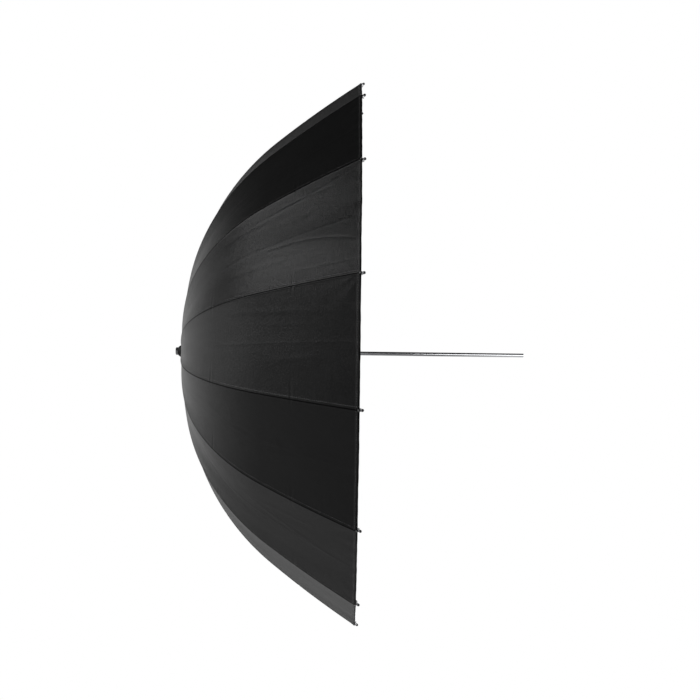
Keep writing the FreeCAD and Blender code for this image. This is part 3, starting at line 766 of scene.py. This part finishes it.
def metal_material(name, dark, light, roughness, along, scratch, dark_from=None):
    """Plated or drawn steel: fine lines along the piece, cloudy tone and small scratches.

    Past dark_from down the shaft the plating is black, as on the ends of the rib tips."""
    material, tree, shader = new_material(name, Metallic=1.0)
    place = add(tree, "ShaderNodeTexCoord").outputs["Object"]
    lines = noise(tree, scaled(tree, place, along), 1.0, 2.0)
    cloud = noise(tree, place, 45.0, 4.0)
    tone = math_node(tree, "ADD", math_node(tree, "MULTIPLY", lines, 0.5),
                     math_node(tree, "MULTIPLY", cloud, 0.5))
    colour = ramp(tree, tone, ((0.3, dark), (0.7, light)))
    if dark_from is not None:
        down = add(tree, "ShaderNodeSeparateXYZ", {0: place}).outputs[0]
        black = map_range(tree, down, 1.0, 0.05, dark_from, dark_from + 0.3 * MM)
        colour = add(tree, "ShaderNodeMix", {0: 1.0, 6: colour, 7: black}, data_type="RGBA",
                     blend_type="MULTIPLY").outputs[2]
    tree.links.new(colour, shader.inputs["Base Color"])
    tree.links.new(map_range(tree, tone, roughness * 0.6, roughness * 1.5),
                   shader.inputs["Roughness"])
    set_bump(tree, shader, lines, scratch, 0.05 * MM)
    return material


def plastic_material(name, dark, light, roughness, grain):
    """Moulded plastic: fine spark-eroded grain and scattered patches rubbed a little paler."""
    material, tree, shader = new_material(name)
    place = add(tree, "ShaderNodeTexCoord").outputs["Object"]
    fine = noise(tree, place, 2600.0, 2.0)
    cloud = noise(tree, place, 120.0, 3.0)
    worn = math_node(tree, "POWER", cloud, 3.0)
    tree.links.new(ramp(tree, worn, ((0.05, dark), (0.4, light))), shader.inputs["Base Color"])
    tree.links.new(map_range(tree, cloud, roughness - 0.1, roughness + 0.12),
                   shader.inputs["Roughness"])
    set_bump(tree, shader, fine, grain, 0.08 * MM)
    return material


def rod_material():
    """Black glass-fibre rod: gloss resin over long fibres."""
    material, tree, shader = new_material("glass_fibre_rod", Coat_Weight=0.5, Coat_Roughness=0.12)
    place = add(tree, "ShaderNodeTexCoord").outputs["Object"]
    fibre = noise(tree, scaled(tree, place, (90, 1500, 1500)), 1.0, 2.0)
    tone = ((0.35, (0.010, 0.010, 0.011)), (0.72, (0.034, 0.034, 0.036)))
    tree.links.new(ramp(tree, fibre, tone), shader.inputs["Base Color"])
    tree.links.new(map_range(tree, fibre, 0.22, 0.42), shader.inputs["Roughness"])
    set_bump(tree, shader, fibre, 0.25, 0.06 * MM)
    return material


def make_materials():
    grey = {"drawn": ((0.42, 0.42, 0.43), (0.66, 0.66, 0.67)),
            "bright": ((0.62, 0.63, 0.65), (0.82, 0.83, 0.85))}
    return {
        # The cover's 0.05 paints shade into its seam groove and hem edge; the lining's 1.0 paints none.
        "black_cloth": cloth_material(
            "black_cover_cloth", (0.002, 0.002, 0.0022), (0.0055, 0.0055, 0.0058), 0.62 * MM, 0.6, 0.05,
            Roughness=0.31, Sheen_Weight=0.02, Sheen_Roughness=0.5, Specular_IOR_Level=0.45),
        "white_cloth": cloth_material(
            "white_lining_cloth", (0.76, 0.76, 0.765), (0.90, 0.90, 0.90), 0.5 * MM, 0.4, 1.0,
            Roughness=0.6, Sheen_Weight=0.15, Sheen_Roughness=0.4, Specular_IOR_Level=0.35),
        # The black thread is painted grey: its pale tone is a painted sheen on thread that is black.
        "black_cloth_thread": thread_material(
            "black_thread", (0.14, 0.14, 0.142), (0.32, 0.32, 0.322), 0.38),
        "white_cloth_thread": thread_material(
            "white_thread", (0.62, 0.62, 0.62), (0.88, 0.88, 0.88), 0.5),
        "steel_shaft": metal_material("polished_steel", *grey["bright"], 0.12,
                                      (12, 300, 300), 0.004),
        "chrome": metal_material("chrome", *grey["bright"], 0.08, (200, 200, 200), 0.05),
        "plain_steel": metal_material("drawn_steel", *grey["drawn"], 0.3, (300, 900, 900), 0.3),
        "rib_metal": metal_material("zinc_plate", *grey["bright"], 0.32, (500, 500, 500), 0.2,
                                    CROWN_X + float(seam_line(SEAM_LENGTH + 4 * MM)[0])),
        "stretcher_steel": metal_material("plated_rod", *grey["drawn"], 0.34,
                                          (60, 900, 900), 0.1),
        "black_plastic": plastic_material(
            "moulded_black", (0.012, 0.012, 0.013), (0.045, 0.045, 0.047), 0.42, 0.3),
        "rosette": plastic_material(
            "cap_black", (0.006, 0.006, 0.007), (0.026, 0.026, 0.028), 0.55, 0.5),
        "rib_rod": rod_material(),
    }


def dress_frame(materials):
    """Every CAD node takes the material of its slot."""
    for part in record["subparts"]:
        mesh = nodes[part["node"]].data
        mesh.materials.clear()
        mesh.materials.append(materials[part["material_slot"]])


# ---------------------------------------------------------------- camera, light and floor

LENS_MM = 50.76
SENSOR_MM = 36.0
CAMERA_BACK = 2.065
CAMERA_RISE = 0.0069
CAMERA_ALONG = 0.3487
CAMERA_TILT = math.radians(2.19)
CAMERA_ROLL = math.radians(0.74)


def camera():
    """Level with the shaft, looking square at the umbrella's side."""
    forward = Vector((0, math.cos(CAMERA_TILT), math.sin(CAMERA_TILT)))
    level_up = Vector((0, -math.sin(CAMERA_TILT), math.cos(CAMERA_TILT)))
    level_right = Vector((1, 0, 0))
    up = level_up * math.cos(CAMERA_ROLL) - level_right * math.sin(CAMERA_ROLL)
    right = level_right * math.cos(CAMERA_ROLL) + level_up * math.sin(CAMERA_ROLL)
    place = (Vector((CROWN_X + CAMERA_ALONG, 0, 0)) - forward * CAMERA_BACK
             + level_up * CAMERA_RISE)
    data = bpy.data.cameras.new("camera")
    data.lens = LENS_MM
    data.sensor_width = SENSOR_MM
    thing = bpy.data.objects.new("camera", data)
    turned = Matrix((right, up, -forward)).transposed().to_4x4()
    thing.matrix_world = Matrix.Translation(place) @ turned
    bpy.context.scene.collection.objects.link(thing)
    bpy.context.scene.camera = thing


def soft_light(name, direction, distance, size, power):
    """A square soft box that faces the middle of the canopy."""
    centre = (cad_low + cad_high) / 2
    direction = Vector(direction).normalized()
    data = bpy.data.lights.new(name, "AREA")
    data.shape = "SQUARE"
    data.size = size
    data.energy = power
    thing = bpy.data.objects.new(name, data)
    turned = (-direction).to_track_quat("-Z", "Y").to_matrix().to_4x4()
    thing.matrix_world = Matrix.Translation(centre + direction * distance) @ turned
    bpy.context.scene.collection.objects.link(thing)


FLOOR_DOWN = 2.12
FLOOR_RADIUS = 4.2
FLOOR_RINGS = 24
FLOOR_TURNS = 96

# Soft boxes: name, direction from the canopy, distance, size and power in watts.
SOFT_BOXES = (
    ("left_high", (-0.89, -0.26, 0.42), 2.4, 0.9, 9),
    ("camera_right", (0.39, -0.92, 0.05), 2.6, 1.4, 12),
    ("open_side", (1.0, -0.12, 0.1), 2.6, 2.0, 18),
)

# Greys of the surround from straight down (0) to straight up (1).
BELOW_GLOW = ((0.0, 0.22), (0.40, 0.25), (0.5, 0.0))
LEVEL_GLOW = ((0.36, 0.0), (0.46, 0.60), (0.58, 0.70), (0.67, 0.06), (1.0, 0.01))


def floor():
    """A plain pale floor, glowing a little as a white table lit from below does."""
    rings, turns = FLOOR_RINGS, FLOOR_TURNS
    points = [(0.0, 0.0, 0.0)]
    for ring in range(1, rings + 1):
        for turn in range(turns):
            angle = 2 * math.pi * turn / turns
            reach = FLOOR_RADIUS * ring / rings
            points.append((reach * math.cos(angle), reach * math.sin(angle), 0.0))
    faces = [(0, 1 + turn, 1 + (turn + 1) % turns) for turn in range(turns)]
    for ring in range(rings - 1):
        near, far = 1 + ring * turns, 1 + (ring + 1) * turns
        for turn in range(turns):
            after = (turn + 1) % turns
            faces.append((near + turn, far + turn, far + after, near + after))
    mesh = bpy.data.meshes.new("floor")
    mesh.from_pydata(points, [], faces)
    material, tree, shader = new_material("pale_floor", Roughness=0.6, Emission_Strength=0.8)
    place = add(tree, "ShaderNodeTexCoord").outputs["Object"]
    tone = noise(tree, place, 1.6, 4.0)
    colour = ramp(tree, tone, ((0.3, (0.80, 0.80, 0.80)), (0.7, (0.84, 0.84, 0.84))))
    tree.links.new(colour, shader.inputs["Base Color"])
    tree.links.new(colour, shader.inputs["Emission Color"])
    mesh.materials.append(material)
    thing = bpy.data.objects.new("floor", mesh)
    thing.location = ((cad_low.x + cad_high.x) / 2, 0.0, -FLOOR_DOWN)
    thing.visible_diffuse = False
    thing.visible_glossy = False
    bpy.context.scene.collection.objects.link(thing)


def surround():
    """White to the eye. As light it is brightest level and behind, and darkest overhead."""
    world = bpy.data.worlds.new("studio")
    bpy.context.scene.world = world
    world.use_nodes = True
    tree = world.node_tree
    way = add(tree, "ShaderNodeSeparateXYZ",
              {0: add(tree, "ShaderNodeTexCoord").outputs["Generated"]}).outputs
    rise = map_range(tree, way[2], 0.0, 1.0, -1.0, 1.0)
    below, level = (ramp(tree, rise, [(at, (grey,) * 3) for at, grey in glow])
                    for glow in (BELOW_GLOW, LEVEL_GLOW))
    parts = []
    far = map_range(tree, way[1], 1.0, 0.58, 0.45, 0.85)
    for glow, front, back in ((below, 0.72, 1.4), (level, 0.22, 1.0)):
        behind = math_node(tree, "MULTIPLY", far, map_range(tree, way[1], front, back, -0.35, 0.6))
        parts.append(add(tree, "ShaderNodeMix", {0: 1.0, 6: glow, 7: behind}, data_type="RGBA",
                         blend_type="MULTIPLY").outputs[2])
    side = map_range(tree, way[0], 0.0, 0.8, 0.09, 0.24)
    parts.append(math_node(tree, "MULTIPLY", side, map_range(tree, way[2], 1.0, 0.1, 0.3, 0.6)))
    parts.append(math_node(tree, "MULTIPLY", map_range(tree, way[1], 0.0, 0.19, 0.68, 0.86),
                           map_range(tree, way[2], 1.0, 0.0, 0.30, 0.48)))
    sky = parts[0]
    for part in parts[1:]:
        sky = add(tree, "ShaderNodeMix", {0: 1.0, 6: sky, 7: part}, data_type="RGBA",
                  blend_type="ADD").outputs[2]
    seen = add(tree, "ShaderNodeBackground", {"Color": (1, 1, 1, 1), "Strength": 1.0})
    filling = add(tree, "ShaderNodeBackground", {"Color": sky, "Strength": 1.0})
    path = add(tree, "ShaderNodeLightPath")
    mixed = add(tree, "ShaderNodeMixShader",
                {0: path.outputs["Is Camera Ray"], 1: filling.outputs[0], 2: seen.outputs[0]})
    tree.links.new(mixed.outputs[0], tree.nodes["World Output"].inputs["Surface"])


def studio():
    """The surround and the soft boxes: high on the left, right of the camera, and into the bowl."""
    surround()
    for box in SOFT_BOXES:
        soft_light(*box)
    bpy.context.scene.view_settings.view_transform = "Standard"


camera()
studio()
floor()
MATERIALS = make_materials()
dress_frame(MATERIALS)
canopy(MATERIALS)
thread_ties(MATERIALS)
